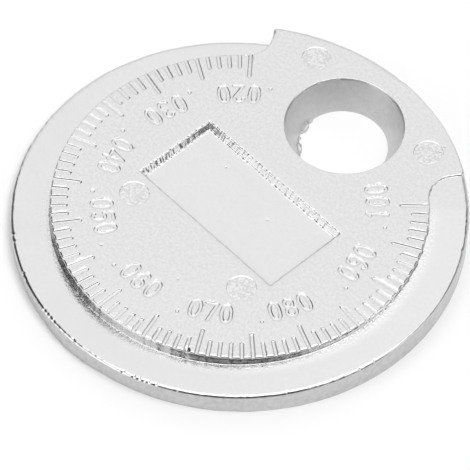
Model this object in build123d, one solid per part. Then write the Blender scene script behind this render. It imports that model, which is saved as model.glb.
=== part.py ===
"""Spark plug gap gauge: one die-cast disc whose rim grows thicker round the dial.

Millimetres and degrees, +Z up. The flat back lies on z = 0, the origin is the centre
of the disc there, and the lug with the hole points along +Y. Angles on the dial run
anticlockwise from +X, seen from above, and the gap grows the same way.
"""
import os
from math import cos, pi, radians, sin, sqrt, tan

from build123d import *

# Disc
rim_diameter = 35.0
rim_width = 2.95
hub_step = 0.11
hub_chamfer = 0.12
wall_draft = 2.0
edge_rounding = 0.15
rim_edge_turn = 70.0

# Dial: the rim is as thick as the mark beside it says, in thousandths of an inch
thousandth = 0.0254
first_mark = 20
last_mark = 100
marks_per_long_mark = 5
lug_to_dial_angle = 43.6
short_mark_length = 1.45
long_mark_length = 2.35
mark_width = 0.3
mark_depth = 0.16
mark_draft = 24.0

# Lug: each end wall is radial, and stops this far short of the mark beside it
thin_end_margin = 5.1
thick_end_margin = 10.0
notch_radius = 2.0
lug_corner_rounding = 0.3

# Conical hole through the lug
hole_top_diameter = 9.3
hole_bottom_diameter = 6.95
hole_to_rim = 1.82

# Sunk panel in the middle
panel_length = 14.5
panel_width = 7.2
panel_depth = 0.55
panel_draft = 20.0

# Marks of the ejector pins: one pair on the lug, one pair below the panel
pin_mark_diameter = 2.35
pin_mark_depth = 0.07
lug_pin_angle = 24.1
lug_pin_to_rim = 2.17
low_pin_x = 6.0
low_pin_to_panel = 1.8

# Gate stub, left on the rim where the casting was broken off its runner
gate_width = 6.6
gate_height = 1.15
gate_proud = 0.15

# How far the cutting shapes run on past the metal
spare = 3.0

# Worked out from the sizes above
rim_radius = rim_diameter / 2
hub_radius = rim_radius - rim_width
first_gap = first_mark * thousandth
last_gap = last_mark * thousandth
hub_height = last_gap + hub_step
first_mark_angle = 90 + lug_to_dial_angle
last_mark_angle = 450 - lug_to_dial_angle
dial_sweep = last_mark_angle - first_mark_angle
mark_pitch = dial_sweep / (last_mark - first_mark)
hole_offset = rim_radius - hole_to_rim - hole_top_diameter / 2


def mark_angle(mark):
    """Direction of a mark on the dial, which is symmetric about the lug."""
    return first_mark_angle + (mark - first_mark) * mark_pitch


def from_lug_axis(radius, angle):
    """Point at this radius, this far round from the +Y axis towards +X."""
    return Vector(radius * sin(radians(angle)), radius * cos(radians(angle)))


def lug_end(side, margin):
    """Inner and outer point of one end wall of the lug, both well past the wall itself."""
    angle = side * (lug_to_dial_angle - margin)
    return from_lug_axis(hub_radius - spare, angle), from_lug_axis(rim_radius + 2 * notch_radius, angle)


def raised_outline():
    """Outline of the full-height metal: the hub with the lug, which runs on past the rim."""
    thin_inner, thin_outer = lug_end(-1, thin_end_margin)
    thick_inner, thick_outer = lug_end(1, thick_end_margin)
    beyond = Vector(0, rim_radius + 4 * notch_radius)
    lug = make_face(Polyline(thin_inner, thin_outer, beyond, thick_outer, thick_inner, close=True))
    outline = Circle(hub_radius) + lug
    notches = outline.vertices().filter_by(lambda v: abs(Vector(*v).length - hub_radius) < 1e-3)
    return fillet(notches, notch_radius)


def rim_edge_arc():
    """Rounding of the rim's upper edge, drawn as radius against height above the rim's level."""
    radius = edge_rounding / sin(radians(rim_edge_turn))
    centre = (rim_radius - edge_rounding, -radius)
    return CenterArc(centre, radius, 90, -rim_edge_turn)


def space_section():
    """Section of the space above the rim: its level is at z = 0, and its edge is rounded."""
    inner, outer, top = hub_radius - spare, rim_radius + spare, hub_height
    rounding = rim_edge_arc()
    run_out = rounding @ 1 + (rounding % 1) * edge_rounding
    corners = ((outer, run_out.Y), (outer, top), (inner, top), (inner, 0))
    around = Polyline(rounding @ 1, run_out, *corners, rounding @ 0)
    return Plane.XZ * make_face([rounding, around])


def space_over_land(start_angle, end_angle, thickness):
    """Space above a stretch of rim that keeps one thickness, from angle to angle."""
    space = revolve(space_section(), Axis.Z, end_angle - start_angle)
    return Pos(0, 0, thickness) * Rot(0, 0, start_angle) * space


def space_over_ramp():
    """Space above the ramp: the same section, carried round a helix as the rim grows thicker."""
    rise = last_gap - first_gap
    spine = Helix(pitch=rise * 360 / dial_sweep, height=rise, radius=rim_radius)
    space = sweep(space_section(), path=spine, is_frenet=True)
    return Pos(0, 0, first_gap) * Rot(0, 0, first_mark_angle) * space


def upright(radius):
    """Cylinder of full height that stands on the back's plane, its seam under the lug."""
    cylinder = Cylinder(radius, hub_height, align=(Align.CENTER, Align.CENTER, Align.MIN))
    return Rot(0, 0, 90) * cylinder


def gauge_rim():
    """The disc brought down to gauge thickness, and hollowed where the hub fills it again."""
    thin_land = space_over_land(90, first_mark_angle, first_gap)
    thick_land = space_over_land(last_mark_angle, 450, last_gap)
    space = space_over_ramp() + thin_land + thick_land
    return upright(rim_radius) - space - Pos(0, 0, first_gap / 2) * upright(hub_radius - spare / 2)


def lug_corners(block):
    """The upright edges where the lug's end walls meet the disc's outer wall."""
    walls = [face for face in block.faces().filter_by(GeomType.PLANE) if abs(face.normal_at().Z) < 0.5]
    return [wall.edges().sort_by(lambda edge: (edge @ 0.5).length)[-1] for wall in walls]


def hub_and_lug():
    """Full-height block with drafted walls, cut off at the rim, its corners rounded and its top bevelled."""
    block = extrude(raised_outline(), hub_height, taper=wall_draft) & upright(rim_radius)
    block = fillet(lug_corners(block), lug_corner_rounding)
    return chamfer(block.edges().group_by(Axis.Z)[-1], hub_chamfer)


def gate_stub():
    """Low segment of a circle that stands proud of the rim opposite the hole."""
    chord_y = -sqrt(rim_radius**2 - (gate_width / 2) ** 2)
    left, right = (-gate_width / 2, chord_y), (gate_width / 2, chord_y)
    bow = ThreePointArc(left, (0, -rim_radius - gate_proud), right)
    inner = -hub_radius
    sides = Polyline(right, (gate_width / 2, inner), (-gate_width / 2, inner), left)
    return extrude(make_face([bow, sides]), gate_height)


def mark_cutter(mark):
    """One engraved mark: a flat-bottomed groove with drafted walls, open through the hub's edge."""
    length = long_mark_length if mark % marks_per_long_mark == 0 else short_mark_length
    half_top = mark_width / 2
    half_floor = half_top - mark_depth * tan(radians(mark_draft))
    groove = Polyline((-half_floor, -mark_depth), (half_floor, -mark_depth), (half_top, 0),
                      (half_top, mark_depth), (-half_top, mark_depth), (-half_top, 0), close=True)
    start = Plane((hub_radius - length, 0, hub_height), x_dir=(0, 1, 0), z_dir=(1, 0, 0))
    return Rot(0, 0, mark_angle(mark)) * extrude(start * make_face(groove), length + mark_width)


def pin_marks():
    """Shallow round recesses left by the ejector pins."""
    recess = Pos(0, 0, hub_height) * Cylinder(pin_mark_diameter / 2, 2 * pin_mark_depth)
    lug_pin = from_lug_axis(rim_radius - lug_pin_to_rim, lug_pin_angle)
    low_pin = Vector(low_pin_x, -panel_width / 2 - low_pin_to_panel)
    return [Pos(side * pin.X, pin.Y) * recess for pin in (lug_pin, low_pin) for side in (-1, 1)]


def hole_cutter():
    """Cone through the lug, carried on past both faces at the same slope."""
    slope = (hole_top_diameter - hole_bottom_diameter) / 2 / hub_height
    low = hole_bottom_diameter / 2 - slope * spare
    high = hole_top_diameter / 2 + slope * spare
    cone = Cone(low, high, hub_height + 2 * spare, align=(Align.CENTER, Align.CENTER, Align.MIN))
    return Pos(0, hole_offset, -spare) * cone


def with_hole(body):
    """The body with its hole, whose mouth is rounded."""
    body -= hole_cutter()
    radius = hole_top_diameter / 2
    mouth = body.edges().filter_by(lambda edge: abs(edge.length - 2 * pi * radius) < edge_rounding)
    return fillet(mouth, edge_rounding)


def panel_cutter():
    """Drafted rectangular recess, narrowing to its floor."""
    opening = Pos(0, 0, hub_height) * Rectangle(panel_length, panel_width)
    return extrude(opening, -panel_depth, taper=panel_draft)


def gap_gauge():
    """The casting: rim, hub and lug first, then everything cut into them."""
    body = with_hole(gauge_rim() + hub_and_lug())
    body += gate_stub()
    body -= panel_cutter()
    body -= pin_marks()
    return body - [mark_cutter(mark) for mark in range(first_mark, last_mark + 1)]


os.makedirs("parts", exist_ok=True)
gauge = gap_gauge()
print("volume", round(gauge.volume, 1), "solids", len(gauge.solids()), "faces", len(gauge.faces()))
print("box", gauge.bounding_box())
export_step(gauge, "parts/gap_gauge.step")
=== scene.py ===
# %% [markdown]
# A spark plug gap gauge, about the size of a large coin. The real one is a single zinc
# casting with a satin plated skin: a raised hub with a dial, a lug with a hole, and a rim
# round the hub that grows thicker like a ramp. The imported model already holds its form.
# The cells below make the same casting again as a finer surface, with the soft edges,
# numbers and rough spots of the real one, then its finish, the floor and the light.

# %% Load the frame
import bpy
import numpy as np
from mathutils import Matrix, Vector, geometry


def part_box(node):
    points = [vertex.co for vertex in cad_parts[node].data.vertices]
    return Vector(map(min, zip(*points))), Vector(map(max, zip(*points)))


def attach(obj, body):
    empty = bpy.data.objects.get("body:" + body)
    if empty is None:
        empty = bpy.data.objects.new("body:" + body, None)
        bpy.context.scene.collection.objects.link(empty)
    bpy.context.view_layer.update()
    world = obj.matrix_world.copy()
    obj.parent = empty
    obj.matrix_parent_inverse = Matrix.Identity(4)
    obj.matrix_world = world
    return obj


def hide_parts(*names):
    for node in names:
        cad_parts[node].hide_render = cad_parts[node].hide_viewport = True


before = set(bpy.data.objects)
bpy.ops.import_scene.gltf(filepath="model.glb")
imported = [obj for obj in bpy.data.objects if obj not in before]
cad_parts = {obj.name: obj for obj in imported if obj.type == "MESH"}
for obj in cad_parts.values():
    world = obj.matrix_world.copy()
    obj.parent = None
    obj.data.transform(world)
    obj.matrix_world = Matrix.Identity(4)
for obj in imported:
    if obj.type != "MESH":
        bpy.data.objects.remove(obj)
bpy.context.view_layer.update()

# %% [markdown]
# The camera comes first, because every later choice is judged through it. The photograph
# looks down on the gauge from the lower right of the dial, from far away with a long lens,
# and its angles were found by fitting the circles and the dial's marks.

# %% Camera
camera_azimuth = np.radians(45.61)
camera_elevation = np.radians(53.38)
camera_roll = np.radians(1.82)
camera_distance = 0.3396
focal_length = 339.6
picture_shift = (-0.0086, -0.0255)

towards_camera = Vector((np.sin(camera_azimuth), -np.cos(camera_azimuth), 0))
sideways = Vector((np.cos(camera_azimuth), np.sin(camera_azimuth), 0))
back = towards_camera * np.cos(camera_elevation) + Vector((0, 0, np.sin(camera_elevation)))
upward = back.cross(sideways)
right = sideways * np.cos(camera_roll) + upward * np.sin(camera_roll)
up = upward * np.cos(camera_roll) - sideways * np.sin(camera_roll)

camera = bpy.data.objects.new("camera", bpy.data.cameras.new("camera"))
camera.data.lens = focal_length
camera.data.shift_x, camera.data.shift_y = picture_shift
camera.data.clip_start, camera.data.clip_end = 0.01, 10
facing = Matrix((right, up, back)).transposed().to_4x4()
camera.matrix_world = Matrix.Translation(back * camera_distance) @ facing
bpy.context.scene.collection.objects.link(camera)
bpy.context.scene.camera = camera
bpy.context.scene.view_settings.view_transform = "Standard"
print("camera at", [round(c, 4) for c in camera.location])

# %% [markdown]
# Sizes are in millimetres here, and become metres only when a mesh is made. The overall
# ones are read from the frame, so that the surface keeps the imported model's form.

# %% Sizes of the casting
millimetre = 0.001
box_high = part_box("gap_gauge")[1]
rim_radius = box_high.x / millimetre
top = box_high.z / millimetre
rim_width = 2.95
hub_radius = rim_radius - rim_width
draft = np.tan(np.radians(2.0))
hub_rounding = 0.15
far_rounding = np.array([0.48, 0.24])
near_rim_rounding = 0.25
root_fillet = 0.025

thousandth = 0.0254
first_mark, last_mark = 20, 100
marks = last_mark - first_mark + 1
first_gap, last_gap = first_mark * thousandth, last_mark * thousandth
lug_to_dial_angle = 43.6
first_mark_angle = 90 + lug_to_dial_angle
dial_sweep = 360 - 2 * lug_to_dial_angle
mark_pitch = dial_sweep / (marks - 1)
print("rim radius", round(rim_radius, 3), "top", round(top, 3), "mark pitch", mark_pitch, "degrees")

# %% [markdown]
# Everything on the casting is soft at a small scale: corners are eased and flats wander a
# little. The main helpers are a smooth step from 0 to 1, and noise made of random heights
# on a square lattice, blended between the corners of each cell. A wave is one such noise,
# given by its height, its cell and its seed.

# %% Helpers for soft shapes


def ease(t):
    """Smooth step: 0 below 0, 1 above 1, and 3t^2 - 2t^3 between."""
    t = np.clip(t, 0, 1)
    return t * t * (3 - 2 * t)


def noise(x, y, cell, seed):
    """Smooth noise between -1 and 1 whose bumps are about one cell across."""
    lattice = 256
    heights = np.random.default_rng(seed).uniform(-1, 1, (lattice, lattice))
    column, row = np.floor(x / cell).astype(int), np.floor(y / cell).astype(int)
    across, along = ease(x / cell - column), ease(y / cell - row)
    west, east = column % lattice, (column + 1) % lattice
    south, north = row % lattice, (row + 1) % lattice
    lower = heights[west, south] * (1 - across) + heights[east, south] * across
    upper = heights[west, north] * (1 - across) + heights[east, north] * across
    return lower * (1 - along) + upper * along


def uneven(x, y, *waves):
    """Sum of waves, each given as (height, cell, seed)."""
    return sum(height * noise(x, y, cell, seed) for height, cell, seed in waves)


def sunk(x, y, depth, cell, seed):
    """A wave that only goes down: between 0 and twice its depth."""
    return depth * (1 + noise(x, y, cell, seed))


def bell(distance, width):
    """Bell-shaped hump of height 1."""
    return np.exp(-((distance / width) ** 2))


def groove(distance, floor, half_width):
    """Share of a groove's depth: 1 over its flat floor, 0 past its half width, eased between."""
    return 1 - ease((distance - floor) / (half_width - floor))


def rounded_drop(distance, width, height):
    """How far an edge rounded by a quarter of an oval has fallen at this distance inside the edge."""
    share = np.clip(distance / width, 0, 1)
    return height * (1 - np.sqrt(1 - (1 - share) ** 2))


def soft_positive(value, softness):
    """The value where it is positive and 0 elsewhere, with a hyperbola instead of the corner."""
    return (value + np.sqrt(value**2 + softness**2)) / 2


def unit(turn):
    """Unit vectors in these directions, which are in radians."""
    return np.stack([np.cos(turn), np.sin(turn)], axis=-1)


def bearing(x, y):
    """Direction of each point from the origin, in degrees from +X."""
    return np.degrees(np.arctan2(y, x))


def distance_to(x, y, centre):
    """Distance of each point from a centre."""
    return np.hypot(x - centre[0], y - centre[1])


def distance_to_nearest(x, y, centres):
    """Distance of each point from the nearest of some centres."""
    return np.min([distance_to(x, y, centre) for centre in centres], axis=0)


def distance_to_path(x, y, path):
    """Distance of each point from a path of straight pieces: along each piece, the nearest place is kept."""
    start, step = path[:-1], np.diff(path, axis=0)
    across, along = x[:, None] - start[:, 0], y[:, None] - start[:, 1]
    share = np.clip((across * step[:, 0] + along * step[:, 1]) / (step**2).sum(1), 0, 1)
    return np.hypot(across - share * step[:, 0], along - share * step[:, 1]).min(1)


# %% [markdown]
# The rim is the gauge itself: the gap opens as the plug is turned round it. Its level is a
# function of direction alone: constant before the first mark, then in proportion to the
# angle, then constant again up to the lug.

# %% The ramp


def rim_level(x, y):
    """Height of the rim in the direction of each point."""
    turned = (bearing(x, y) - first_mark_angle) % 360
    share = np.where(turned > dial_sweep + lug_to_dial_angle, 0, np.minimum(turned / dial_sweep, 1))
    return first_gap + share * (last_gap - first_gap)


print("ramp from", first_gap, "to", last_gap, "mm")

# %% [markdown]
# The raised metal is the hub with the lug. Its outline is two radial lug walls, two hollow
# fillets and the hub's circle, and the lug's outer corners are rounded. Each stretch is a
# formula in one parameter, so the outline gives points and outward normals, and the same
# fillet centres give the distance of any point from the raised metal's upper edge.

# %% Outline of the hub and lug
thin_end_margin, thick_end_margin = 5.1, 10.0
notch_radius = 2.0
notch_reach = 5.0
corner_rounding = 0.3


def from_lug_axis(radius, degrees):
    """Point at this radius, so many degrees from +Y towards +X."""
    return radius * np.array([np.sin(np.radians(degrees)), np.cos(np.radians(degrees))])


class LugEnd:
    """One end of the lug: a radial wall with a hollow fillet that leads into the hub."""

    def __init__(self, side, margin):
        self.along = from_lug_axis(1, side * (lug_to_dial_angle - margin))
        self.corner = rim_radius * self.along
        self.normal = side * np.array([self.along[1], -self.along[0]])
        self.wall_length = rim_radius - np.sqrt((hub_radius + notch_radius) ** 2 - notch_radius**2)
        self.on_wall = self.corner - self.wall_length * self.along
        self.centre = self.on_wall + notch_radius * self.normal
        self.on_hub = self.centre * hub_radius / (hub_radius + notch_radius)

    def past_wall(self, x, y):
        """Signed distance past the straight wall."""
        return (x - self.corner[0]) * self.normal[0] + (y - self.corner[1]) * self.normal[1]

    def in_notch(self, x, y):
        """Whether a point faces the hollow fillet from near by."""
        across, along = x - self.centre[0], y - self.centre[1]

        def turn(target):
            spoke = target - self.centre
            return spoke[0] * along - spoke[1] * across

        middle = self.on_wall + self.on_hub - 2 * self.centre
        near = (across * middle[0] + along * middle[1] > 0) & (np.hypot(across, along) < notch_reach)
        return (turn(self.on_wall) * turn(self.on_hub) < 0) & near


lug_ends = [LugEnd(-1, thin_end_margin), LugEnd(1, thick_end_margin)]


def rounded_corner(first, second, radius):
    """Distance outside both of two borders, whose corner is rounded."""
    past = np.hypot(np.maximum(first + radius, 0), np.maximum(second + radius, 0)) - radius
    return np.where(past > -radius, past, np.maximum(first, second))


def beyond_edge(x, y):
    """Distance outside the upper edge of the raised metal, negative on the hub and lug."""
    lean = top * draft
    past_walls = np.maximum(*[end.past_wall(x, y) for end in lug_ends]) + lean
    past_lug = rounded_corner(past_walls, np.hypot(x, y) - rim_radius, corner_rounding)
    beyond = np.minimum(np.hypot(x, y) - hub_radius + lean, past_lug)
    for end in lug_ends:
        in_fillet = notch_radius - distance_to(x, y, end.centre) + lean
        beyond = np.where(end.in_notch(x, y), in_fillet, beyond)
    return beyond


print("lug walls", [round(float(end.wall_length), 2) for end in lug_ends], "mm long")

# %% [markdown]
# The hub's wall is a profile carried round that outline: a rounded upper edge, a wall that
# leans by the draft, and a small fillet on the rim. Where the rim is thick the step is
# low, and the roundings shrink with it. The lug's outer edge was tumbled rounder: there the
# rounding is a flat oval, wider than it is high.

# %% Profile of the raised edge
outer_start, outer_blend = 16.0, 1.2
rounding_share, fillet_share = 0.5, 0.4


def edge_sizes(x, y, level):
    """Width and height of the rounding, plan width of the wall, and fillet, above a rim of this level."""
    step = top - level
    outermost = ease((np.hypot(x, y) - outer_start) / outer_blend)
    width, height = [hub_rounding + (far - hub_rounding) * outermost for far in far_rounding]
    shrunk = np.minimum(1, rounding_share * step / height)
    root = np.minimum(root_fillet, fillet_share * step)
    return width * shrunk, height * shrunk, (step - height * shrunk - root) * draft, root


def raised_level(x, y, beyond, level):
    """Height at this distance past the hub's upper edge line."""
    width, height, wall, root = edge_sizes(x, y, level)
    on_edge = top - rounded_drop(-beyond, width, height)
    on_wall = top - height - beyond / draft
    on_root = level + rounded_drop(beyond - wall, root, root)
    return np.where(beyond <= 0, on_edge, np.where(beyond < wall, on_wall, on_root))


print("step from the rim up to the hub", round(top - first_gap, 2), "to", round(top - last_gap, 2), "mm")

# %% [markdown]
# Each mark is a groove with soft shoulders, open at the hub's edge, and every fifth one is
# long. A point belongs to the mark whose direction is nearest, which turns the whole dial
# into one formula instead of a loop. Hand-cut dies are never even, so each mark has its own
# small error in length, width and depth.

# %% The dial's marks
short_length, long_length = 1.45, 2.35
marks_per_long_mark = 5
mark_depth = 0.07
mark_half_width, mark_floor = 0.165, 0.1
length_error, width_error, depth_error = 0.03, 0.003, 0.12
worst_error = 2
mark_edge_wave = (0.004, 0.3, 12)
mark_numbers = np.arange(marks)
mark_lengths = np.where(mark_numbers % marks_per_long_mark == 0, long_length, short_length)
die_errors = np.random.default_rng(11).normal(0, 1, (3, marks))


def mark_place(x, y):
    """Nearest mark of each point, how far aside of its line, and how far past its inner end."""
    turned = (bearing(x, y) - first_mark_angle + mark_pitch / 2) % 360
    number = np.clip((turned / mark_pitch).astype(int), 0, marks - 1)
    direction = np.radians(first_mark_angle + number * mark_pitch)
    aside = y * np.cos(direction) - x * np.sin(direction)
    outward = x * np.cos(direction) + y * np.sin(direction)
    past_end = outward - (hub_radius - mark_lengths[number] - length_error * die_errors[0, number])
    return number, aside, past_end


def mark_cut(x, y):
    """Depth of the marks below the hub's top."""
    number, aside, past_end = mark_place(x, y)
    distance = np.hypot(aside, np.minimum(past_end - mark_floor, 0))
    distance = distance - width_error * np.clip(die_errors[1, number], -worst_error, worst_error)
    distance = distance + uneven(x, y, mark_edge_wave)
    depth = mark_depth * (1 + depth_error * die_errors[2, number])
    return depth * groove(distance, mark_floor, mark_half_width)


print(marks, "marks,", int((mark_lengths == long_length).sum()), "of them long")

# %% [markdown]
# The dial's numbers are plain strokes, struck in one by one: each figure stands on its own
# radius with its head towards the centre. A figure is a few arcs and lines in a box of its
# own, about 0.8 wide and 1.6 high along the centre lines of its strokes.

# %% Strokes of the figures
degrees_per_point, fewest_points = 14, 4


def arc(centre, radii, start, end, bend=2.0):
    """Points on an oval from one angle to another; bend above 2 makes it squarer."""
    count = max(fewest_points, int(abs(end - start) / degrees_per_point))
    round_points = unit(np.radians(np.linspace(start, end, count)))
    return np.sign(round_points) * np.abs(round_points) ** (2 / bend) * radii + centre


def line(*points):
    """Straight strokes from point to point."""
    return np.array(points, float)


figures = {
    "0": [arc((0, 0), (0.36, 0.78), 0, 360, 2.3)],
    "1": [line((-0.2, 0.5), (0.02, 0.78), (0.02, -0.8))],
    "2": [np.vstack([arc((0, 0.42), (0.35, 0.37), 170, -30), line((-0.36, -0.79), (0.38, -0.79))])],
    "3": [arc((-0.02, 0.40), (0.33, 0.38), 150, -90), arc((-0.02, -0.39), (0.37, 0.41), 90, -150)],
    "4": [line((0.24, -0.8), (0.2, 0.8), (-0.4, -0.36), (0.44, -0.36))],
    "5": [np.vstack([line((0.36, 0.79), (-0.28, 0.79), (-0.33, 0.12)),
                     arc((0, -0.3), (0.36, 0.49), 125, -140)])],
    "6": [arc((0.02, -0.05), (0.37, 0.83), 55, 190), arc((0, -0.37), (0.36, 0.42), 0, 360)],
    "7": [line((-0.38, 0.78), (0.38, 0.78), (-0.1, -0.8))],
    "8": [arc((0, 0.42), (0.30, 0.36), 0, 360), arc((0, -0.37), (0.37, 0.42), 0, 360)],
    "9": [arc((0, 0.37), (0.36, 0.42), 0, 360), arc((-0.02, 0.05), (0.37, 0.83), 235, 370)],
    ".": [line((0, -0.02), (0, 0.02))],
}
print(len(figures), "figures drawn")

# %% [markdown]
# The placing follows the real dial, whose numbers don't sit exactly at their marks. Each
# number is kept with the direction of its middle figure, and a point goes before it.

# %% Places of the numbers
number_directions = {
    "020": 137.4, "030": 169.9, "040": 202.8, "050": 235.1, "060": 272.2,
    "070": 305.1, "080": 338.1, "090": 374.8, "100": 408.1,
}
figure_radius, figure_pitch = 10.5, 6.5
point_radius, point_lead = 11.25, 12.6
figure_half_width, figure_half_height = 0.9, 1.3
stroke_half_width, stroke_floor = 0.152, 0.1
stroke_depth = 0.038
stroke_edge_wave, stroke_depth_wave = (0.008, 0.35, 21), (0.15, 1.1, 22)


def figure_places():
    """Every figure as (sign, radius, direction in degrees)."""
    places = []
    for number, middle in number_directions.items():
        places.append((".", point_radius, middle - point_lead))
        for place, figure in enumerate(number):
            places.append((figure, figure_radius, middle + (place - 1) * figure_pitch))
    return places


def stroke_distance(x, y):
    """Distance of each point from the nearest stroke, at most 1."""
    nearest = np.ones(x.shape)
    for sign, radius, degrees in figure_places():
        outward = unit(np.radians(degrees))
        across = (y - radius * outward[1]) * outward[0] - (x - radius * outward[0]) * outward[1]
        upwards = radius - (x * outward[0] + y * outward[1])
        close = (np.abs(across) < figure_half_width) & (np.abs(upwards) < figure_half_height)
        for stroke in figures[sign]:
            gap = distance_to_path(across[close], upwards[close], stroke)
            nearest[close] = np.minimum(nearest[close], gap)
    return nearest


def figure_cut(x, y):
    """Depth of the struck figures."""
    distance = stroke_distance(x, y) + uneven(x, y, stroke_edge_wave)
    depth = stroke_depth * (1 + uneven(x, y, stroke_depth_wave))
    return depth * groove(distance, stroke_floor, stroke_half_width)


print(len(figure_places()), "signs on the dial")

# %% [markdown]
# The middle holds a plain sunk panel. Its walls are the roughest part of the casting, where
# the die was cut with a small tool, so the distance from the wall is disturbed by noise
# before it becomes a depth. Its lip and its foot are soft, and the floor is smooth.

# %% The sunk panel
panel_half = np.array([7.25, 3.6])
panel_depth = 0.55
panel_slope = 1 / np.tan(np.radians(20.0))
panel_softness = 0.15
panel_waves = ((0.02, 0.12, 31), (0.016, 0.34, 32))


def inside_panel(x, y):
    """Distance inside the panel's outline."""
    return np.minimum(panel_half[0] - np.abs(x), panel_half[1] - np.abs(y))


def panel_cut(x, y):
    """Depth of the panel: a slope softened at its lip and its foot, and ragged along its length."""
    inside = inside_panel(x, y) + uneven(x, y, *panel_waves)
    slope = soft_positive(panel_slope * inside, panel_softness)
    return soft_positive(panel_depth, panel_softness) - soft_positive(panel_depth - slope, panel_softness)


print("panel of", *(2 * panel_half), "mm")

# %% [markdown]
# Four round marks show where pins pushed the casting out of its die. Each is a very shallow
# recess with a fine groove round it and a torn, grainy floor.

# %% Ejector pin marks
pin_radius = 1.175
pin_depth, pin_edge = 0.012, 0.08
groove_inset, groove_width, groove_depth = 0.06, 0.045, 0.007
pin_edge_wave = (0.012, 0.6, 41)
pin_grain = ((0.007, 0.12, 42), (0.003, 0.3, 43))
lug_pin_to_rim, lug_pin_angle = 2.17, 24.1
lug_pin, low_pin = from_lug_axis(rim_radius - lug_pin_to_rim, lug_pin_angle), (6.0, -5.4)
pin_centres = [(side * px, py) for px, py in (lug_pin, low_pin) for side in (-1, 1)]


def pin_cut(x, y):
    """Depth of the pin marks: a step, a groove along it and grain inside it."""
    distance = distance_to_nearest(x, y, pin_centres) + uneven(x, y, pin_edge_wave)
    inside = groove(distance, pin_radius - pin_edge, pin_radius)
    along_edge = groove_depth * bell(distance - pin_radius + groove_inset, groove_width)
    return np.maximum(inside * (pin_depth + uneven(x, y, *pin_grain)) + along_edge, 0)


print(len(pin_centres), "pin marks")

# %% [markdown]
# The hole is a cone, wider at the top, with a rounded mouth. At its foot a little flash was
# left where the two halves of the die met: a ragged lip with a crevice behind it.

# %% The conical hole
hole_top, hole_bottom = 4.65, 3.475
hole_to_rim = 1.82
hole_centre = rim_radius - hole_to_rim - hole_top
hole_axis = (0, hole_centre)
hole_slope = top / (hole_top - hole_bottom)
mouth_rounding = 0.09
mouth_reach = mouth_rounding * np.tan(np.arctan(hole_slope) / 2)
mouth_end = hole_top - mouth_reach * np.cos(np.arctan(hole_slope))
mouth_start = hole_top + mouth_reach
flash_start, flash_sweep = 178, 68
flash_fade_in, flash_fade_out = 0.12, 0.2
flash_reach, flash_fullness, flash_wave = 0.32, 0.75, (0.9, 5.0, 51)
flash_height, flash_evenness, flash_turn, flash_noise = 0.34, 0.55, 4.0, (1.0, 52)
least_flash, flash_border = 0.03, 0.01


def hole_level(distance):
    """Height of the hole's wall and mouth at this distance from the hole's axis."""
    on_wall = (distance - hole_bottom) * hole_slope
    across = np.clip(mouth_start - distance, 0, mouth_rounding)
    on_mouth = top - mouth_rounding + np.sqrt(mouth_rounding**2 - across**2)
    return np.where(distance < mouth_end, on_wall, on_mouth)


def flash_width(degrees):
    """How far the flash stands in from the hole's bottom edge, in this direction."""
    degrees = np.asarray(degrees) % 360
    place = (degrees - flash_start) / flash_sweep
    zone = ease(place / flash_fade_in) * ease((1 - place) / flash_fade_out)
    return flash_reach * zone * ease(flash_fullness + uneven(degrees, 0 * degrees, flash_wave))


def flash_level(x, y):
    """Height of the flash, and 0 where there is none."""
    around, from_axis = bearing(x, y - hole_centre), distance_to(x, y, hole_axis)
    ragged = (1 - flash_evenness) * noise(around / flash_turn, from_axis, *flash_noise)
    width = flash_width(around)
    inner, outer = hole_bottom - width + flash_border, hole_bottom - flash_border
    in_flash = (width > least_flash) & (from_axis > inner) & (from_axis < outer)
    return np.where(in_flash, flash_height * (flash_evenness + ragged), 0)


print("hole of", 2 * hole_top, "mm at the top and", 2 * hole_bottom, "mm at the bottom")

# %% [markdown]
# A cheap casting has small flaws, and a few of this one's can be seen: pits in the flats, a
# scratch beside one number, a patch where the die was filled across three marks, a notch in
# the hub's edge and a nick in the hole's mouth. The same bell curve shapes them all.
# The rim's rounded edge is uneven as well: widest on the far side, sharpest at the right,
# and broken by chips, which are listed by direction.

# %% Small flaws
pits = [(2.17, -8.35), (-4.07, -10.52), (2.37, 0.68), (-3.46, 1.78), (6.79, 14.71), (6.7, 15.34)]
pit_radius, pit_depth = 0.055, 0.055
hub_notch, notch_width, notch_depth = (7.38, -12.24), 0.17, 0.16
hollows = [(hub_notch, notch_width, notch_depth), *[(pit, pit_radius, pit_depth) for pit in pits]]
scratch = np.array([(8.59, 1.1), (8.98, 2.51)])
scratch_width, scratch_wave = 0.04, (0.005, 0.25, 91)
filled_patch, patch_radius, patch_fill, patch_wave = (-10.82, 8.71), 0.4, 0.5, (0.4, 0.14, 62)
mouth_nick, nick_radius, nick_depth = (-4.3, 12.5), 0.13, 0.07

chips = np.array([
    33.3, 12.5, 4.0, 352.5, 348.4, 343.1, 340.2, 329.0, 318.7, 313.2, 301.4, 296.0, 294.1,
    293.0, 291.6, 290.2, 287.2, 271.5, 263.9, 262.3, 261.0, 259.8, 247.0, 236.5, 234.3,
])
chip_width, chip_growth = 0.35, 0.35
near_direction, far_base, far_swing = 316, 0.5, 0.8
sharpest, sharp_width, sharpening = 14, 20, 0.7
rim_wave = (0.08, 0.6, 63)
worn_noise, worn_start, worn_blend = (1.6, 67), -0.1, 0.6
grain_noise, fresh_grain, worn_grain = (0.2, 66), 0.03, 0.15


def small_flaws(x, y):
    """Depth of the notch, the pits and the scratch."""
    depth = sum(deepest * bell(distance_to(x, y, centre), width) for centre, width, deepest in hollows)
    return depth + bell(distance_to_path(x, y, scratch), scratch_width) * sunk(x, y, *scratch_wave)


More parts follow.
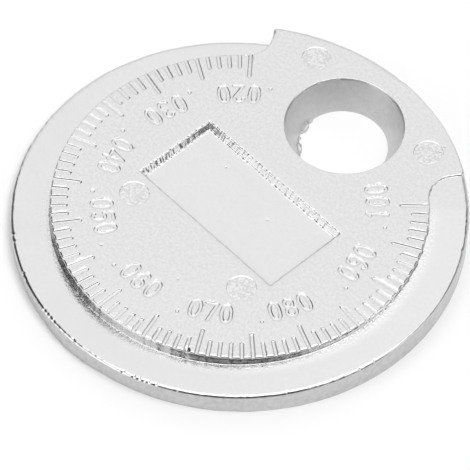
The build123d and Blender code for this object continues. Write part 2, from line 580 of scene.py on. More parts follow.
def rim_rounding(x, y):
    """Width and height of the rim's rounded edge."""
    turned = bearing(x, y) % 360
    far_side = ease(far_base - far_swing * np.cos(np.radians(turned - near_direction)))
    chipped = bell(turned[..., None] - chips, chip_width).sum(axis=-1)
    worn = ease((noise(x, y, *worn_noise) - worn_start) / worn_blend)
    rough = (fresh_grain + worn_grain * worn) * noise(x, y, *grain_noise)
    from_sharpest = (turned - sharpest + 180) % 360 - 180
    growth = 1 + uneven(x, y, rim_wave) + rough + chip_growth * chipped
    growth = growth * (1 - sharpening * bell(from_sharpest, sharp_width))
    return [(near_rim_rounding + (far - near_rim_rounding) * far_side) * growth for far in far_rounding]


print(len(pits), "pits and", len(chips), "chips")

# %% [markdown]
# Now the whole upper side is one function of x and y. The rim's edge is eased, the hub
# stands on the rim, the marks cut it down to their floors, the other cuts come off it, a
# slow waviness of a few thousandths of a millimetre keeps the flats from looking ruled, and
# the hole goes through.

# %% Height of the upper side
raised_edge_waves = ((0.012, 0.3, 64), (0.004, 0.16, 65))
flat_wave = (0.004, 2.6, 61)


def upper_side(x, y):
    """Height of the casting's upper side over each point of the plan."""
    low = rim_level(x, y) - rounded_drop(rim_radius - np.hypot(x, y), *rim_rounding(x, y))
    raised = raised_level(x, y, beyond_edge(x, y) + uneven(x, y, *raised_edge_waves), low)
    filled = ease(bell(distance_to(x, y, filled_patch), patch_radius))
    marked = top - mark_cut(x, y) * (1 - filled * (patch_fill + uneven(x, y, patch_wave)))
    height = np.maximum(np.minimum(raised, marked), np.minimum(raised, low))
    height = height - figure_cut(x, y) - panel_cut(x, y) - pin_cut(x, y) - small_flaws(x, y)
    height = height - sunk(x, y, *flat_wave)
    nick = nick_depth * bell(distance_to(x, y, mouth_nick), nick_radius)
    from_axis = distance_to(x, y, hole_axis) - nick
    height = np.where(from_axis < mouth_start, np.minimum(height, hole_level(from_axis)), height)
    return np.maximum(height, flash_level(x, y))


print("middle of the panel at", round(float(upper_side(np.zeros(1), np.zeros(1))[0]), 3), "mm")

# %% [markdown]
# A regular grid fine enough for the figures would need over a million faces, so the plan is
# sown unevenly. Edges get rails: copies of an outline at chosen distances, close together
# where the profile bends. Fine detail gets a fine mesh of points, the flats a coarse one,
# and a triangulation that must keep the rails joins them all up.

# %% Rails and meshes of points
near_start, near_end = 220.0, 411.0
near_step, far_step, hole_step = 0.3, 0.6, 1.2
corner_reach, corner_step, least_step = 2.7, 0.12, 0.05
rim_insets = np.array([0, 0.008, 0.03, 0.065, 0.11, 0.16, 0.22, 0.3, 0.4, 0.52])
hole_shares = np.array([0.0, 0.02, 0.1, 0.19, 0.24, 0.3, 0.42, 0.55, 0.68, 0.8, 0.9, 1.0])
mouth_shares = np.array([0.15, 0.35, 0.6, 0.85, 1.0, 1.7, 2.8, 4.5])


def hexagonal(centre, reach, spacing):
    """Points of a hexagonal mesh that fills the square of this reach round a centre."""
    rows = np.arange(centre[1] - reach, centre[1] + reach, spacing * np.sqrt(0.75))
    x, y = np.meshgrid(np.arange(centre[0] - reach, centre[0] + reach, spacing), rows)
    x = x + np.where(np.arange(len(rows)) % 2, spacing / 2, 0)[:, None]
    return np.column_stack([x.ravel(), y.ravel()])


class Plan:
    """Points of the plan, and the rails that join some of them."""

    def __init__(self):
        self.points, self.edges, self.count = [], [], 0

    def add(self, points):
        self.points.append(points)
        self.count += len(points)

    def add_rails(self, rails, closed=True):
        """Adds an array of rails by points by 2, each rail joined up point to point."""
        numbers = self.count + np.arange(rails.shape[0] * rails.shape[1]).reshape(rails.shape[:2])
        pairs = np.stack([numbers, np.roll(numbers, -1, axis=1)], axis=2)
        self.edges.append((pairs if closed else pairs[:, :-1]).reshape(-1, 2))
        self.add(rails.reshape(-1, 2))


def circle_rails(centre_y, radii, turn):
    """Concentric circles, as rails with a point in each direction; a radius may vary round the circle."""
    return np.reshape(radii, (len(radii), -1, 1)) * unit(turn) + (0, centre_y)


def stretch(start, end, spacing):
    """Evenly spaced numbers, without the last."""
    count = max(2, int(np.ceil(abs(end - start) / spacing)))
    return np.linspace(start, end, count, endpoint=False)


plan = Plan()
lug_corners = [bearing(*end.corner) for end in lug_ends]
rim_turn = np.sort(np.concatenate([
    stretch(near_start, near_end, near_step), stretch(near_end, near_start + 360, far_step),
    *[360 + corner + stretch(-corner_reach, corner_reach, corner_step) for corner in lug_corners],
]))
rim_turn = np.radians(rim_turn[np.diff(rim_turn, append=rim_turn[0] + 360) > least_step])
plan.add_rails(circle_rails(0, rim_radius - rim_insets, rim_turn))

hole_turn = np.radians(stretch(0, 360, hole_step))
hole_edge = hole_bottom - flash_width(np.degrees(hole_turn))
hole_radii = hole_edge + hole_shares[:, None] * (mouth_end - hole_edge)
mouth_radii = mouth_end + mouth_shares * (mouth_start - mouth_end)
plan.add_rails(circle_rails(hole_centre, hole_radii, hole_turn))
plan.add_rails(circle_rails(hole_centre, mouth_radii, hole_turn))
print(len(rim_turn), "directions round the rim,", plan.count, "points on the rim and the hole")

# %% [markdown]
# Round the hub the rails' points are spaced to suit the marks: close together across each
# groove, wide apart between them, so that every mark cuts cleanly through the hub's edge.

# %% Rails along the hub and the lug
half_offsets = np.array([0.088, 0.106, 0.122, 0.14, 0.158, 0.182])
groove_offsets = np.concatenate([-half_offsets[::-1], [0], half_offsets])
between_shares = np.array([0.36, 0.5, 0.64])
wall_start, wall_spacing, notch_step = 0.05, 0.11, 0.045
hub_step, hub_gap = 0.42, 0.3
before_edge = np.array([0.3, 0.1])
edge_shares = np.array([-1.0, -0.62, -0.33, -0.12, 0])
wall_shares = np.array([0.33, 0.67, 1.0])
root_shares = np.array([0.15, 0.5, 1.0])
past_root = np.array([0.09, 0.3])


def end_path(end):
    """Points and outward normals along a lug end's wall and fillet, from the rim to the hub."""
    run = stretch(rim_insets[-1] + wall_start, end.wall_length, wall_spacing)
    wall = end.corner - run[:, None] * end.along
    start, finish = [np.arctan2(*(point - end.centre)[::-1]) for point in (end.on_wall, end.on_hub)]
    turn = (finish - start + np.pi) % (2 * np.pi) - np.pi
    spokes = unit(start + stretch(0, turn, notch_step))
    points = np.vstack([wall, end.centre + notch_radius * spokes])
    return points, np.vstack([np.broadcast_to(end.normal, wall.shape), -spokes])


def hub_directions():
    """Directions of the points along the hub's circle, in degrees."""
    start, finish = [bearing(*end.on_hub) for end in lug_ends]
    pattern = np.concatenate([np.degrees(groove_offsets / hub_radius), between_shares * mark_pitch])
    around = first_mark_angle + mark_pitch * mark_numbers[:, None]
    marked = (around + pattern).ravel()[: -len(between_shares)]
    before = stretch(start, marked[0] - hub_gap, hub_step)
    after = finish + 360 - stretch(0, finish + 360 - marked[-1] - hub_gap, hub_step)[::-1]
    return np.concatenate([before, marked, after])


(thin_points, thin_normals), (thick_points, thick_normals) = [end_path(end) for end in lug_ends]
hub_spokes = unit(np.radians(hub_directions()))
outline = np.vstack([thin_points, hub_radius * hub_spokes, thick_points[::-1]])
outward = np.vstack([thin_normals, hub_spokes, thick_normals[::-1]])
rounding, _, wall, root = edge_sizes(*outline.T, rim_level(*outline.T))
offsets = np.vstack([
    -rounding - before_edge[:, None],
    edge_shares[:, None] * rounding,
    wall_shares[:, None] * wall,
    wall + root_shares[:, None] * root,
    wall + root + past_root[:, None],
]) - top * draft
plan.add_rails(outline + offsets[:, :, None] * outward, closed=False)
print(len(outline), "points along the hub and lug, on", len(offsets), "rails")

# %% [markdown]
# Each groove gets a narrow strip of points of its own, and the panel's walls get rails that
# follow its rectangle. The far walls show their height to the camera, so their points are
# closer together.

# %% Points of the marks and the panel
strip_start = np.array([-0.13, -0.1, -0.075, -0.052, -0.03, -0.01, 0.02, 0.08])
strip_next, strip_end, strip_step = 0.2, 0.7, 0.24
panel_insets = np.array([
    -0.32, -0.17, -0.1, -0.06, -0.03, 0, 0.04, 0.08, 0.12, 0.16, 0.19, 0.22, 0.26, 0.32, 0.46,
])
near_spacing, far_spacing = 0.11, 0.06


def left_of(direction):
    """A quarter turn anticlockwise."""
    return np.array([-direction[1], direction[0]])


for number, length in enumerate(mark_lengths):
    run = np.concatenate([strip_start, np.arange(strip_next, length - strip_end, strip_step)])
    direction = unit(np.radians(first_mark_angle + number * mark_pitch))
    outwards, aside = np.meshgrid(hub_radius - length + run, groove_offsets)
    strip = outwards[..., None] * direction + aside[..., None] * left_of(direction)
    plan.add(strip.reshape(-1, 2))

panel_sides = []
for direction, spacing in (((1, 0), near_spacing), ((0, 1), near_spacing),
                           ((-1, 0), far_spacing), ((0, -1), far_spacing)):
    run = stretch(-1, 1, spacing / np.abs(panel_half @ direction))[:, None]
    panel_sides.append(run * direction - left_of(direction))
plan.add_rails(np.vstack(panel_sides) * (panel_half - panel_insets[:, None, None]))
print(plan.count, "points with the marks and the panel")

# %% [markdown]
# The figures and the pin marks are filled with a fine mesh of points, the flats with a
# coarse one that keeps clear of everything placed before.

# %% Points of the figures, pin marks and flats
stroke_levels = np.concatenate([[0.045], np.linspace(stroke_floor, stroke_half_width, 4), [0.17]])
stroke_spacing, level_tolerance, least_spacing = 0.09, 0.006, 0.018
end_turn = np.radians(np.arange(0, 360, 30))
most_corners = 4
pin_turn = np.radians(stretch(0, 360, 4))
pin_radii = pin_radius + np.array([-0.2, -0.15, -0.11, -0.08, -0.05, -0.02, 0.01, 0.07])
pin_mesh_gap, pin_mesh_reach, pin_spacing = 0.05, 1.4, 0.095
pit_mesh_radius, pit_mesh_reach, pit_spacing = 2.5 * pit_radius, 0.25, 0.035
scratch_shares = stretch(-0.05, 1.05, 0.05)
scratch_offsets, scratch_normal = np.array([-0.08, -0.04, 0, 0.04, 0.08]), np.array([0.96, -0.27])
flats_spacing, flats_reach = 0.32, 17.5
clearance = {
    "rim": 0.15, "raised edge": 0.42, "hole": 0.14, "panel": 0.14, "mark": 0.12, "mark's end": 0.3,
    "figure": 0.12, "pin": 0.24, "pit": 0.28,
}


def beside(stroke, spacing):
    """Points at the stroke levels on both sides of a stroke and round its corners, with their levels."""
    travelled = np.concatenate([[0], np.cumsum(np.hypot(*np.diff(stroke, axis=0).T))])
    stops = np.linspace(0, travelled[-1], int(np.ceil(travelled[-1] / spacing)) + 1)
    centre = np.column_stack([np.interp(stops, travelled, stroke[:, k]) for k in (0, 1)])
    lead = np.gradient(centre, axis=0)
    lead /= np.hypot(*lead.T)[:, None]
    across = np.column_stack([lead[:, 1], -lead[:, 0]])
    sides = np.concatenate([[0], stroke_levels, -stroke_levels])
    along_sides = centre + sides[:, None, None] * across
    corners = stroke if len(stroke) <= most_corners else stroke[[0, -1]]
    rings = corners[:, None, None] + stroke_levels[:, None, None] * unit(end_turn)
    side_levels = np.repeat(np.abs(sides), len(centre))
    ring_levels = np.tile(np.repeat(stroke_levels, len(end_turn)), len(corners))
    points = np.vstack([along_sides.reshape(-1, 2), rings.reshape(-1, 2)])
    return points, np.concatenate([side_levels, ring_levels])


def disc_of_points(centre, radius, reach, spacing):
    """The points within a radius, out of a fine mesh of this reach."""
    mesh = hexagonal(centre, reach, spacing)
    return mesh[distance_to(*mesh.T, centre) < radius]


fine = []
for sign, radius, degrees in figure_places():
    outwards = unit(np.radians(degrees))
    for stroke in figures[sign]:
        points, level = beside(stroke, stroke_spacing)
        placed = radius * outwards + points[:, :1] * left_of(outwards) - points[:, 1:] * outwards
        fine.append(placed[np.abs(stroke_distance(*placed.T) - level) < level_tolerance])
fine = np.vstack(fine)
fine = fine[np.unique(np.round(fine / least_spacing), axis=0, return_index=True)[1]]
plan.add(fine)
pin_rings = circle_rails(0, pin_radii, pin_turn).reshape(-1, 2)
for centre in pin_centres:
    plan.add(disc_of_points(centre, pin_radii[0] - pin_mesh_gap, pin_mesh_reach, pin_spacing))
    plan.add(pin_rings + centre)
for pit in pits:
    plan.add(disc_of_points(pit, pit_mesh_radius, pit_mesh_reach, pit_spacing))
scratch_run = scratch[0] + scratch_shares[:, None] * (scratch[1] - scratch[0])
plan.add((scratch_run + scratch_offsets[:, None, None] * scratch_normal).reshape(-1, 2))

coarse = hexagonal((0, 0), flats_reach, flats_spacing)
x, y = coarse.T
beyond, inside = beyond_edge(x, y), inside_panel(x, y)
rounding, _, wall, root = edge_sizes(x, y, rim_level(x, y))
_, aside, past_end = mark_place(x, y)
on_mark = (np.abs(aside) < mark_half_width + clearance["mark"]) & (past_end > -clearance["mark's end"])
clear = np.hypot(x, y) < rim_radius - rim_insets[-1] - clearance["rim"]
clear &= (beyond < -rounding - clearance["raised edge"]) | (beyond > wall + root + clearance["raised edge"])
clear &= distance_to(x, y, hole_axis) > mouth_radii[-1] + clearance["hole"]
clear &= (inside < panel_insets[0] - clearance["panel"]) | (inside > panel_insets[-1] + clearance["panel"])
clear &= ~(on_mark & (np.hypot(x, y) < hub_radius))
clear &= stroke_distance(x, y) > stroke_half_width + clearance["figure"]
clear &= distance_to_nearest(x, y, pin_centres) > pin_radius + clearance["pin"]
clear &= distance_to_nearest(x, y, pits) > clearance["pit"]
plan.add(coarse[clear])
print(len(fine), "points on the figures,", int(clear.sum()), "on the flats,", plan.count, "in all")

# %% [markdown]
# The triangulation covers everything inside its outermost points. Triangles past the rim's
# circle or inside the hole are dropped: each is tested against the one chord of the circle
# that faces its centre.

# %% Triangulate the plan


def past_ring(points, centre_y, ring):
    """Which points lie outside a ring of points that goes once round its centre, anticlockwise."""
    turned = np.arctan2(ring[:, 1] - centre_y, ring[:, 0])
    ring, turned = ring[np.argsort(turned)], np.sort(turned)
    ahead = np.searchsorted(turned, np.arctan2(points[:, 1] - centre_y, points[:, 0])) % len(ring)
    start, end = ring[ahead - 1], ring[ahead]
    step, reach = end - start, points - start
    return step[:, 0] * reach[:, 1] - step[:, 1] * reach[:, 0] < 0


def triangulate(plan, rim, hole):
    """The plan's points, and triangles between two rings that keep every edge, wound anticlockwise."""
    corners, edges = [Vector(point) for point in np.vstack(plan.points)], np.vstack(plan.edges).tolist()
    tolerance = 1e-7
    found = geometry.delaunay_2d_cdt(corners, edges, [], 0, tolerance)
    points, triangles = np.array([tuple(point) for point in found[0]]), np.array(found[2])
    a, b, c = (points[triangles[:, k]] for k in range(3))
    clockwise = (b[:, 0] - a[:, 0]) * (c[:, 1] - a[:, 1]) < (b[:, 1] - a[:, 1]) * (c[:, 0] - a[:, 0])
    triangles[clockwise] = triangles[clockwise][:, ::-1]
    middles = points[triangles].mean(axis=1)
    kept = ~past_ring(middles, 0, rim) & past_ring(middles, hole_centre, hole)
    return points, triangles[kept]


rim_ring = circle_rails(0, [rim_radius], rim_turn)[0]
hole_ring = circle_rails(hole_centre, hole_radii[:1], hole_turn)[0]
plan_points, plan_triangles = triangulate(plan, rim_ring, hole_ring)
used, plan_triangles = np.unique(plan_triangles, return_inverse=True)
plan_points, plan_triangles = plan_points[used], plan_triangles.reshape(-1, 3)
print(len(plan_points), "points and", len(plan_triangles), "triangles on the upper side")

# %% [markdown]
# The two open borders of the upper side are found as the edges that only one triangle uses.
# The outer one is then carried down as the rim's wall, and the inner one already lies on
# the back's plane.

# %% Borders of the upper side
rim_reach = 1.5


def edge_uses(triangles):
    """Every edge as a pair of numbers, and how many triangles use it."""
    pairs = np.vstack([triangles[:, [0, 1]], triangles[:, [1, 2]], triangles[:, [2, 0]]])
    return np.unique(np.sort(pairs, axis=1), axis=0, return_counts=True)


pairs, uses = edge_uses(plan_triangles)
border = np.unique(pairs[uses == 1])
x, y = plan_points[border].T
outer = border[np.hypot(x, y) > hub_radius + rim_reach]
inner = border[distance_to(x, y, hole_axis) < hole_top]
outer = outer[np.argsort(bearing(*plan_points[outer].T))]
inner = inner[np.argsort(bearing(*(plan_points[inner] - hole_axis).T))]
heights = upper_side(*plan_points.T)
heights[inner] = 0
print(len(outer), "points round the rim,", len(inner), "round the hole,", len(border), "on borders")

# %% [markdown]
# The rim's wall is a grid: direction along the border by height. It leans nowhere, but it
# isn't smooth: the die left faint upright drag lines, and opposite the hole the metal was
# broken off its runner, which left a rough stub that stands 0.15 mm proud at most.

# %% The rim's wall
gate_half_width, gate_height, gate_proud = 3.3, 1.15, 0.15
gate_border, gate_border_wave = 0.16, (0.08, 0.4, 71)
gate_fullness, gate_waves = 0.72, ((0.2, 0.3, 72), (0.08, 0.13, 73))
bottom_rounding = 0.1
drag_lines, wall_wave, wall_blend = (0.004, 0.5, 74), (0.006, 0.9, 75), 0.1
wall_rows = np.array([0.93, 0.82, 0.7, 0.58, 0.46, 0.32, 0.16, 0.0])
bottom_turns = np.radians([30, 60, 90])


def gate_swell(x, z):
    """How far the broken gate stands out, by place along X and height."""
    share = np.clip(1 - (x / gate_half_width) ** 2, 0, 1)
    upper_edge = ease((gate_height - z + uneven(x, z, gate_border_wave)) / gate_border)
    return gate_proud * share * upper_edge * (gate_fullness + uneven(x, z, *gate_waves))


def rim_wall(border_xy, border_z):
    """Rows of points from the border down to the back, as an array of rows by points by 3."""
    spokes = border_xy / np.hypot(*border_xy.T)[:, None]
    along = np.arctan2(spokes[:, 1], spokes[:, 0]) * rim_radius
    z_rows = [bottom_rounding + share * (border_z - bottom_rounding) for share in wall_rows]
    radius_rows = []
    for share, z in zip(wall_rows, z_rows):
        inward = sunk(along, 0 * along, *drag_lines) + sunk(along, z, *wall_wave)
        radius_rows.append(rim_radius - inward * ease((1 - share) / wall_blend))
    for turn in bottom_turns:
        z_rows.append(bottom_rounding * (1 - np.sin(turn)) + 0 * border_z)
        radius_rows.append(radius_rows[len(wall_rows) - 1] - bottom_rounding * (1 - np.cos(turn)))
    rows = []
    for radius, z in zip(radius_rows, z_rows):
        point = spokes * radius[:, None]
        point[:, 1] -= np.where(spokes[:, 1] < 0, gate_swell(point[:, 0], z), 0)
        rows.append(np.column_stack([point, z]))
    return np.array(rows)


wall_grid = rim_wall(plan_points[outer], heights[outer])
print("rim's wall is", wall_grid.shape[0], "rows of", wall_grid.shape[1], "points")

# %% [markdown]
# The back is flat, as the real one has to be, because the plug's gap is measured from it.
# It only sinks by a hair between its borders, as thick castings do when they cool.

# %% The back
back_wave = (0.006, 5.0, 81)
back_spacing, back_reach = 1.1, 17
back_rim_gap, back_hole_gap = 0.8, 0.6

back_border, hole_border = wall_grid[-1, :, :2], plan_points[inner]
back_fill = hexagonal((0, 0), back_reach, back_spacing)
x, y = back_fill.T
clear = distance_to(x, y, hole_axis) > hole_bottom + back_hole_gap
back_fill = back_fill[clear & (np.hypot(x, y) < rim_radius - back_rim_gap)]
back_plan = Plan()
back_plan.add_rails(back_border[None])
back_plan.add_rails(hole_border[None])
back_plan.add(back_fill)
back_points, back_triangles = triangulate(back_plan, back_border, hole_border)
assert len(back_points) == back_plan.count
back_triangles = back_triangles[:, ::-1]
back_heights = sunk(*back_fill.T, *back_wave)
print(len(back_triangles), "triangles on the back")

# %% [markdown]
# The parts are joined by number, not by merging: the wall starts on the border's own
# points, and the back's triangles use the wall's last row and the hole's border. The result
# is one closed skin, which is checked by counting that every edge has two faces.

# %% Join the skin
rows, columns = wall_grid.shape[:2]
wall_numbers = len(plan_points) + np.arange(rows * columns).reshape(rows, columns)
levels = np.vstack([outer[None], wall_numbers])
upper, lower = levels[:-1], levels[1:]
quads = np.stack([upper, lower, np.roll(lower, -1, 1), np.roll(upper, -1, 1)], axis=2).reshape(-1, 4)
fill_numbers = len(plan_points) + rows * columns + np.arange(len(back_fill))
back_numbers = np.concatenate([wall_numbers[-1], inner, fill_numbers])

skin_points = np.vstack([
    np.column_stack([plan_points, heights]),
    wall_grid.reshape(-1, 3),
    np.column_stack([back_fill, back_heights]),
])
skin_triangles = np.vstack([
    plan_triangles, back_numbers[back_triangles], quads[:, [0, 1, 2]], quads[:, [0, 2, 3]],
])
open_edges = int((edge_uses(skin_triangles)[1] != 2).sum())
print(len(skin_triangles), "triangles; edges that don't have two faces:", open_edges)

# %% [markdown]
# The mesh goes in as whole arrays. It rides on the part's one body and stands for the
# packed casting, which keeps the collision shape.

# %% The casting's object


def make_piece(name, points, triangles, sharp):
    """A smooth mesh object from points in millimetres; the edges between the sharp points stay crisp."""
    mesh = bpy.data.meshes.new(name)
    mesh.from_pydata(points * millimetre, [], triangles)
    mesh.polygons.foreach_set("use_smooth", np.ones(len(triangles), bool))
    mesh.update()
    ends = np.empty(2 * len(mesh.edges), np.int32)
    mesh.edges.foreach_get("vertices", ends)
    mesh.edges.foreach_set("use_edge_sharp", np.isin(ends.reshape(-1, 2), sharp).all(axis=1))
    piece = bpy.data.objects.new(name, mesh)
    bpy.context.scene.collection.objects.link(piece)
    return piece


casting = make_piece("gap_gauge_casting", skin_points, skin_triangles, inner)
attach(casting, "root")
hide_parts("gap_gauge")
print(casting.name, len(casting.data.vertices), "vertices")

# %% [markdown]
# Materials are graphs of nodes, and sums written with nodes are hard to read. This small
# class wraps a node's output so that plus, minus and times add Math nodes by themselves,
# and one method makes every other kind of node: its settings first, then its inputs.

# %% Writing shader graphs as expressions


def operator(operation, reflected=False):
    """A method that adds a Math node; reflected is for a number that stands before the output."""
    def apply(self, other):
        return self.graph.math(operation, *((other, self) if reflected else (self, other)))
    return apply


class Output:
    """A number that comes out of a node, with arithmetic."""

    def __init__(self, graph, socket):
        self.graph, self.socket = graph, socket

    __add__ = __radd__ = operator("ADD")
    __mul__ = __rmul__ = operator("MULTIPLY")
    __sub__, __rsub__ = operator("SUBTRACT"), operator("SUBTRACT", reflected=True)


class Graph:
    """A node tree that is emptied and filled again."""

    def __init__(self, tree):
        self.tree = tree
        tree.nodes.clear()

    def node(self, kind, settings=None, inputs=None):
        """Adds a node; the result is the node itself."""
        made = self.tree.nodes.new(kind)
        for name, value in (settings or {}).items():
            setattr(made, name, value)
        for place, value in (inputs or {}).items():
            if isinstance(value, Output):
                self.tree.links.new(value.socket, made.inputs[place])
            else:
                made.inputs[place].default_value = value
        return made

    def out(self, kind, output=0, settings=None, inputs=None):
        """Adds a node and gives one of its outputs."""
        return Output(self, self.node(kind, settings, inputs).outputs[output])

    def math(self, operation, first, second=0.0):
        return self.out("ShaderNodeMath", 0, {"operation": operation}, {0: first, 1: second})

    def between(self, value, low, high):
        """Smooth step of a value from low to high."""
        return self.out("ShaderNodeMapRange", 0, {"interpolation_type": "SMOOTHSTEP"},
                        {"Value": value, "From Min": low, "From Max": high})

    def mix(self, share, first, second):
        """A colour between two colours; a colour that is given as a number is a grey."""
        inputs = {"Factor": share}
        for place, value in ((6, first), (7, second)):
            inputs[place] = value if isinstance(value, Output) else (value, value, value, 1)
        return self.out("ShaderNodeMix", 2, {"data_type": "RGBA"}, inputs)

    def noise(self, place, scale, detail, roughness):
        return self.out("ShaderNodeTexNoise", "Fac", {},
                        {"Vector": place, "Scale": scale, "Detail": detail, "Roughness": roughness})


def new_material(name):
    """A material and its empty graph."""
    material = bpy.data.materials.new(name)
    material.use_nodes = True
    return material, Graph(material.node_tree)


print("Output and Graph are ready")

# %% [markdown]
# The finish is a satin plate over a casting that was tumbled, not polished. It reads as
# almost white metal. Close to, it has a fine grain, a slower orange-peel, and patches that
# are a shade duller. The rim's wall and the hole were never tumbled bright, the pin marks
# are torn, and a haze of grain is left on the rim along the hub's foot. The hole's dull
# colour is also lifted halfway towards a paler grey: painted light on the hole's wall.
# Each region is a soft mask on the place, and its two numbers are lengths in millimetres.

# %% The plated finish
wall_zone = rim_radius - 0.06, rim_radius - 0.01
back_zone, top_zone = (0.015, 0.03), (top - 0.15, top - 0.08)
hole_zone, pin_zone = (mouth_end - 0.1, mouth_end), (pin_radius - 0.15, pin_radius - 0.05)
hub_zone, foot_zone, haze_zone = [
    (hub_radius + low, hub_radius + high) for low, high in ((-0.2, -0.05), (0, 1), (0, 0.08))
]
patch_noise, mottle_noise = (260.0, 3.0, 0.5), (2400.0, 3.0, 0.6)
speckle_noise, fine_noise = (4200.0, 3.0, 0.6), (5500.0, 2.0, 0.6)
bright_greys, bright_levels = (0.785, 0.76), (0.3, 0.7)
speckle_grey, speckle_levels, speckle_strength, side_grain = 0.70, (0.35, 0.65), 0.7, 0.35
torn_greys, torn_levels = (0.8, 0.66), (0.4, 0.6)
matt_greys, matt_levels = (0.63, 0.54), (0.3, 0.7)
# The paler grey and the share by which the hole's dull grey is lifted towards it: painted light on the
# hole's wall.
hole_painted_light_grey, hole_painted_light_share = 0.8, 0.5
speckle_height, mottle_height, fine_height, bump_distance = 0.7, 0.3, 1.3, 0.000012
satin, dull_haze, hole_haze = 0.17, 0.16, 0.15
patch_haze, patch_levels = 0.06, (0.35, 0.75)
foot_haze, foot_levels = 0.16, (0.35, 0.6)


def plated_finish(name):
    """Satin bright plate on a grainy zinc casting, duller on the rim's wall and in the hole, whose colour is
    lifted towards a paler grey as painted light.
    """
    material, graph = new_material(name)
    place = graph.out("ShaderNodeTexCoord", "Object")
    parts = graph.node("ShaderNodeSeparateXYZ", {}, {0: place})
    x, y, z = [Output(graph, parts.outputs[axis]) for axis in range(3)]

    def zone(length, low, high):
        return graph.between(length, low * millimetre, high * millimetre)

    def reach(across, along):
        return graph.math("SQRT", across * across + along * along)

    from_centre, from_hole = reach(x, y), reach(x, y - hole_centre * millimetre)
    on_wall, off_back, on_top = zone(from_centre, *wall_zone), zone(z, *back_zone), zone(z, *top_zone)
    in_hole = off_back * (1 - zone(from_hole, *hole_zone))
    dull = graph.math("MAXIMUM", on_wall, in_hole)
    near_hub = 1 - zone(from_centre, *foot_zone)
    at_foot = off_back * zone(from_centre, *hub_zone) * (1 - on_top) * near_hub
    in_pins = 0.0
    for pin_x, pin_y in pin_centres:
        from_pin = reach(x - pin_x * millimetre, y - pin_y * millimetre)
        in_pins = in_pins + (1 - zone(from_pin, *pin_zone))

    patches, speckle = graph.noise(place, *patch_noise), graph.noise(place, *speckle_noise)
    fine, mottle = graph.noise(place, *fine_noise), graph.noise(place, *mottle_noise)
    grain = side_grain + (1 - side_grain) * on_top
    bright = graph.mix(graph.between(patches, *bright_levels), *bright_greys)
    speckled = graph.between(speckle, *speckle_levels) * grain * speckle_strength
    bright = graph.mix(speckled, bright, speckle_grey)
    torn = graph.mix(graph.between(fine, *torn_levels), *torn_greys)
    bright = graph.mix(in_pins * on_top, bright, torn)
    matt = graph.mix(graph.between(mottle, *matt_levels), *matt_greys)
    # In the hole the dull grey is lifted halfway to a paler grey: painted light on its wall, over its real
    # dull casting colour.
    colour = graph.mix(dull, bright, graph.mix(in_hole * hole_painted_light_share, matt, hole_painted_light_grey))
    height = (speckle * speckle_height + mottle * mottle_height) * (grain + dull + at_foot)
    height = height + fine_height * (fine * at_foot)
    bump = graph.out("ShaderNodeBump", "Normal", {},
                     {"Strength": 1.0, "Distance": bump_distance, "Height": height})
    haze = zone(from_centre, *haze_zone) * at_foot * graph.between(speckle, *foot_levels)
    roughness = satin + patch_haze * graph.between(patches, *patch_levels) + dull_haze * dull
    roughness = roughness + hole_haze * in_hole + foot_haze * haze
    shader = graph.out("ShaderNodeBsdfPrincipled", 0, {}, {
        "Base Color": colour, "Metallic": 1.0, "Roughness": roughness, "Normal": bump,
    })
    graph.node("ShaderNodeOutputMaterial", {}, {"Surface": shader})
    return material


plate = plated_finish("satin_plate")
casting.data.materials.append(plate)
print(plate.name, len(plate.node_tree.nodes), "nodes")

# %% [markdown]
# The gauge lies on white card. The card is nearly white itself, and a tenth of its look is
# plain white, so that it stays white in the picture. From below it is clear, so that the
# underside can be looked at. It is clear as well for the rays that leave the metal and meet
# it at once, just under the gauge, or the back would only mirror the dark between the two.

# %% The floor
floor_half, floor_gap = 1.5, 0.00001
card_grey, backdrop_lift = 0.97, 0.1
contact_zone = (0.00006, 0.0001)


def card_finish(name):
    """Matt white card whose underside is clear, and which is clear where the gauge touches it."""
    material, graph = new_material(name)
    matt = graph.out("ShaderNodeBsdfDiffuse", 0, {}, {"Color": (card_grey, card_grey, card_grey, 1)})
    white = graph.out("ShaderNodeEmission", 0, {}, {"Color": (1, 1, 1, 1), "Strength": 1.0})
    ray = graph.node("ShaderNodeLightPath")
    camera_ray, glossy_ray, through_ray, length = [
        Output(graph, ray.outputs[kind])
        for kind in ("Is Camera Ray", "Is Glossy Ray", "Is Transmission Ray", "Ray Length")
    ]
    looked_at = graph.math("MINIMUM", camera_ray + glossy_ray + through_ray, 1.0)
    card = graph.out("ShaderNodeMixShader", 0, {}, {0: looked_at * backdrop_lift, 1: matt, 2: white})
    clear = graph.out("ShaderNodeBsdfTransparent")
    behind = graph.out("ShaderNodeNewGeometry", "Backfacing")
    touching = glossy_ray * (1 - graph.between(length, *contact_zone))
    see_through = graph.math("MAXIMUM", behind, touching)
    seen = graph.out("ShaderNodeMixShader", 0, {}, {0: see_through, 1: card, 2: clear})
    graph.node("ShaderNodeOutputMaterial", {}, {"Surface": seen})
    return material


corners = np.array([(-1, -1, 0), (1, -1, 0), (1, 1, 0), (-1, 1, 0)]) * floor_half
floor_mesh = bpy.data.meshes.new("floor")
floor_mesh.from_pydata(corners - np.array([0, 0, floor_gap]), [], [(0, 1, 2, 3)])
floor = bpy.data.objects.new("floor", floor_mesh)
floor_mesh.materials.append(card_finish("white_card"))
bpy.context.scene.collection.objects.link(floor)
print("floor", 2 * floor_half, "m wide")

# %% [markdown]
# Metal shows what stands round it. The gauge was lit in a white tent: one strong soft lamp
# high up, a little to the right, which throws the shadow to the left; white behind, a window
# of light on each side, and darker towards the camera and at the far sides. The metal
# doesn't mirror the lamp itself, or the flats would be blank from straight above: it mirrors
# a softer white overhead instead. The world is that tent, written as soft masks on
# direction: sectors by azimuth from the camera's side, and heights, all in degrees.

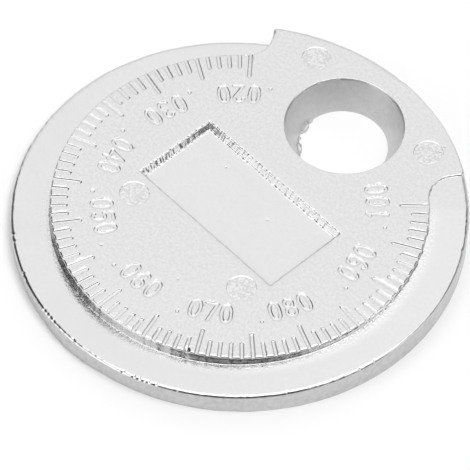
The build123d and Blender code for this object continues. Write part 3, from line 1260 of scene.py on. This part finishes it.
# %% The light
far_white, far_grey = 1.03, 0.75
left_window, right_window = (1.5, 0.9), (1.5, 1.1)
dark, low_grey, right_grey = 0.03, 0.4, 0.6
overhead_white, mirrored_white, zenith_white = 1.45, 2.0, 0.92
lamp_white = 6.0
lamp_tilt, lamp_azimuth = np.radians(20), np.radians(60)
lamp_edge = [float(np.cos(np.radians(16) + np.radians(soft))) for soft in (3, -3)]
front_sector, far_sector = (-38, 38), (-148, 148)
left_flank, right_flank = (-148, -88), (90, 148)
left_sector, right_sector, right_blend = (-80, -46), (42, 84), (60, 74)
floor_heights, front_heights, far_heights, window_heights = (0, 6), (12, 28), (8, 44), (30, 44)
flank_heights, overhead_heights, zenith_heights = (30, 42), (61, 67), (79, 86)
sector_softness = 7.0


def light_tent():
    """Brightness of the surroundings by direction."""
    world = bpy.data.worlds.new("light_tent")
    bpy.context.scene.world = world
    world.use_nodes = True
    graph = Graph(world.node_tree)
    direction = graph.out("ShaderNodeTexCoord", "Generated")

    def along(axis):
        return graph.out("ShaderNodeVectorMath", "Value", {"operation": "DOT_PRODUCT"},
                         {0: direction, 1: axis})

    height = graph.math("ARCSINE", along((0, 0, 1))) * (180 / np.pi)
    azimuth = graph.math("ARCTAN2", along(sideways), along(towards_camera)) * (180 / np.pi)

    def sector(low, high):
        """1 between two azimuths, with soft borders."""
        soft = sector_softness
        past_low, past_high = [graph.between(azimuth, edge - soft, edge + soft) for edge in (low, high)]
        return past_low * (1 - past_high)

    def above(heights):
        return graph.between(height, *heights)

    def blend(share, first, second):
        return first + share * (second - first)

    lamp_aside = np.sin(lamp_azimuth) * sideways + np.cos(lamp_azimuth) * towards_camera
    lamp_axis = np.sin(lamp_tilt) * lamp_aside + Vector((0, 0, np.cos(lamp_tilt)))
    on_lamp = graph.between(along(lamp_axis), *lamp_edge)
    around = blend((1 - sector(*far_sector)) * (1 - above(far_heights)), far_white, far_grey)
    high = above(window_heights)
    right_light = dark + graph.between(azimuth, *right_blend) * right_window[0]
    around = blend(sector(*left_sector), around, blend(high, *left_window))
    around = blend(sector(*right_sector), around, blend(high, right_light, right_window[1]))
    front = sector(*front_sector) + sector(*left_flank)
    around = blend(front, around, blend(above(front_heights), low_grey, dark))
    around = blend(sector(*right_flank), around, blend(above(flank_heights), right_grey, dark))
    mirrored = graph.out("ShaderNodeLightPath", "Is Glossy Ray")
    seen = blend(above(zenith_heights), mirrored_white, zenith_white)
    around = blend(above(overhead_heights), around, blend(mirrored, overhead_white, seen))
    around = blend(on_lamp * (1 - mirrored), around, lamp_white)
    strength = blend(above(floor_heights), 1.0, around)
    background = graph.out("ShaderNodeBackground", 0, {}, {"Color": (1, 1, 1, 1), "Strength": strength})
    graph.node("ShaderNodeOutputWorld", {}, {"Surface": background})
    return world


tent = light_tent()
print(tent.name, len(tent.node_tree.nodes), "nodes")
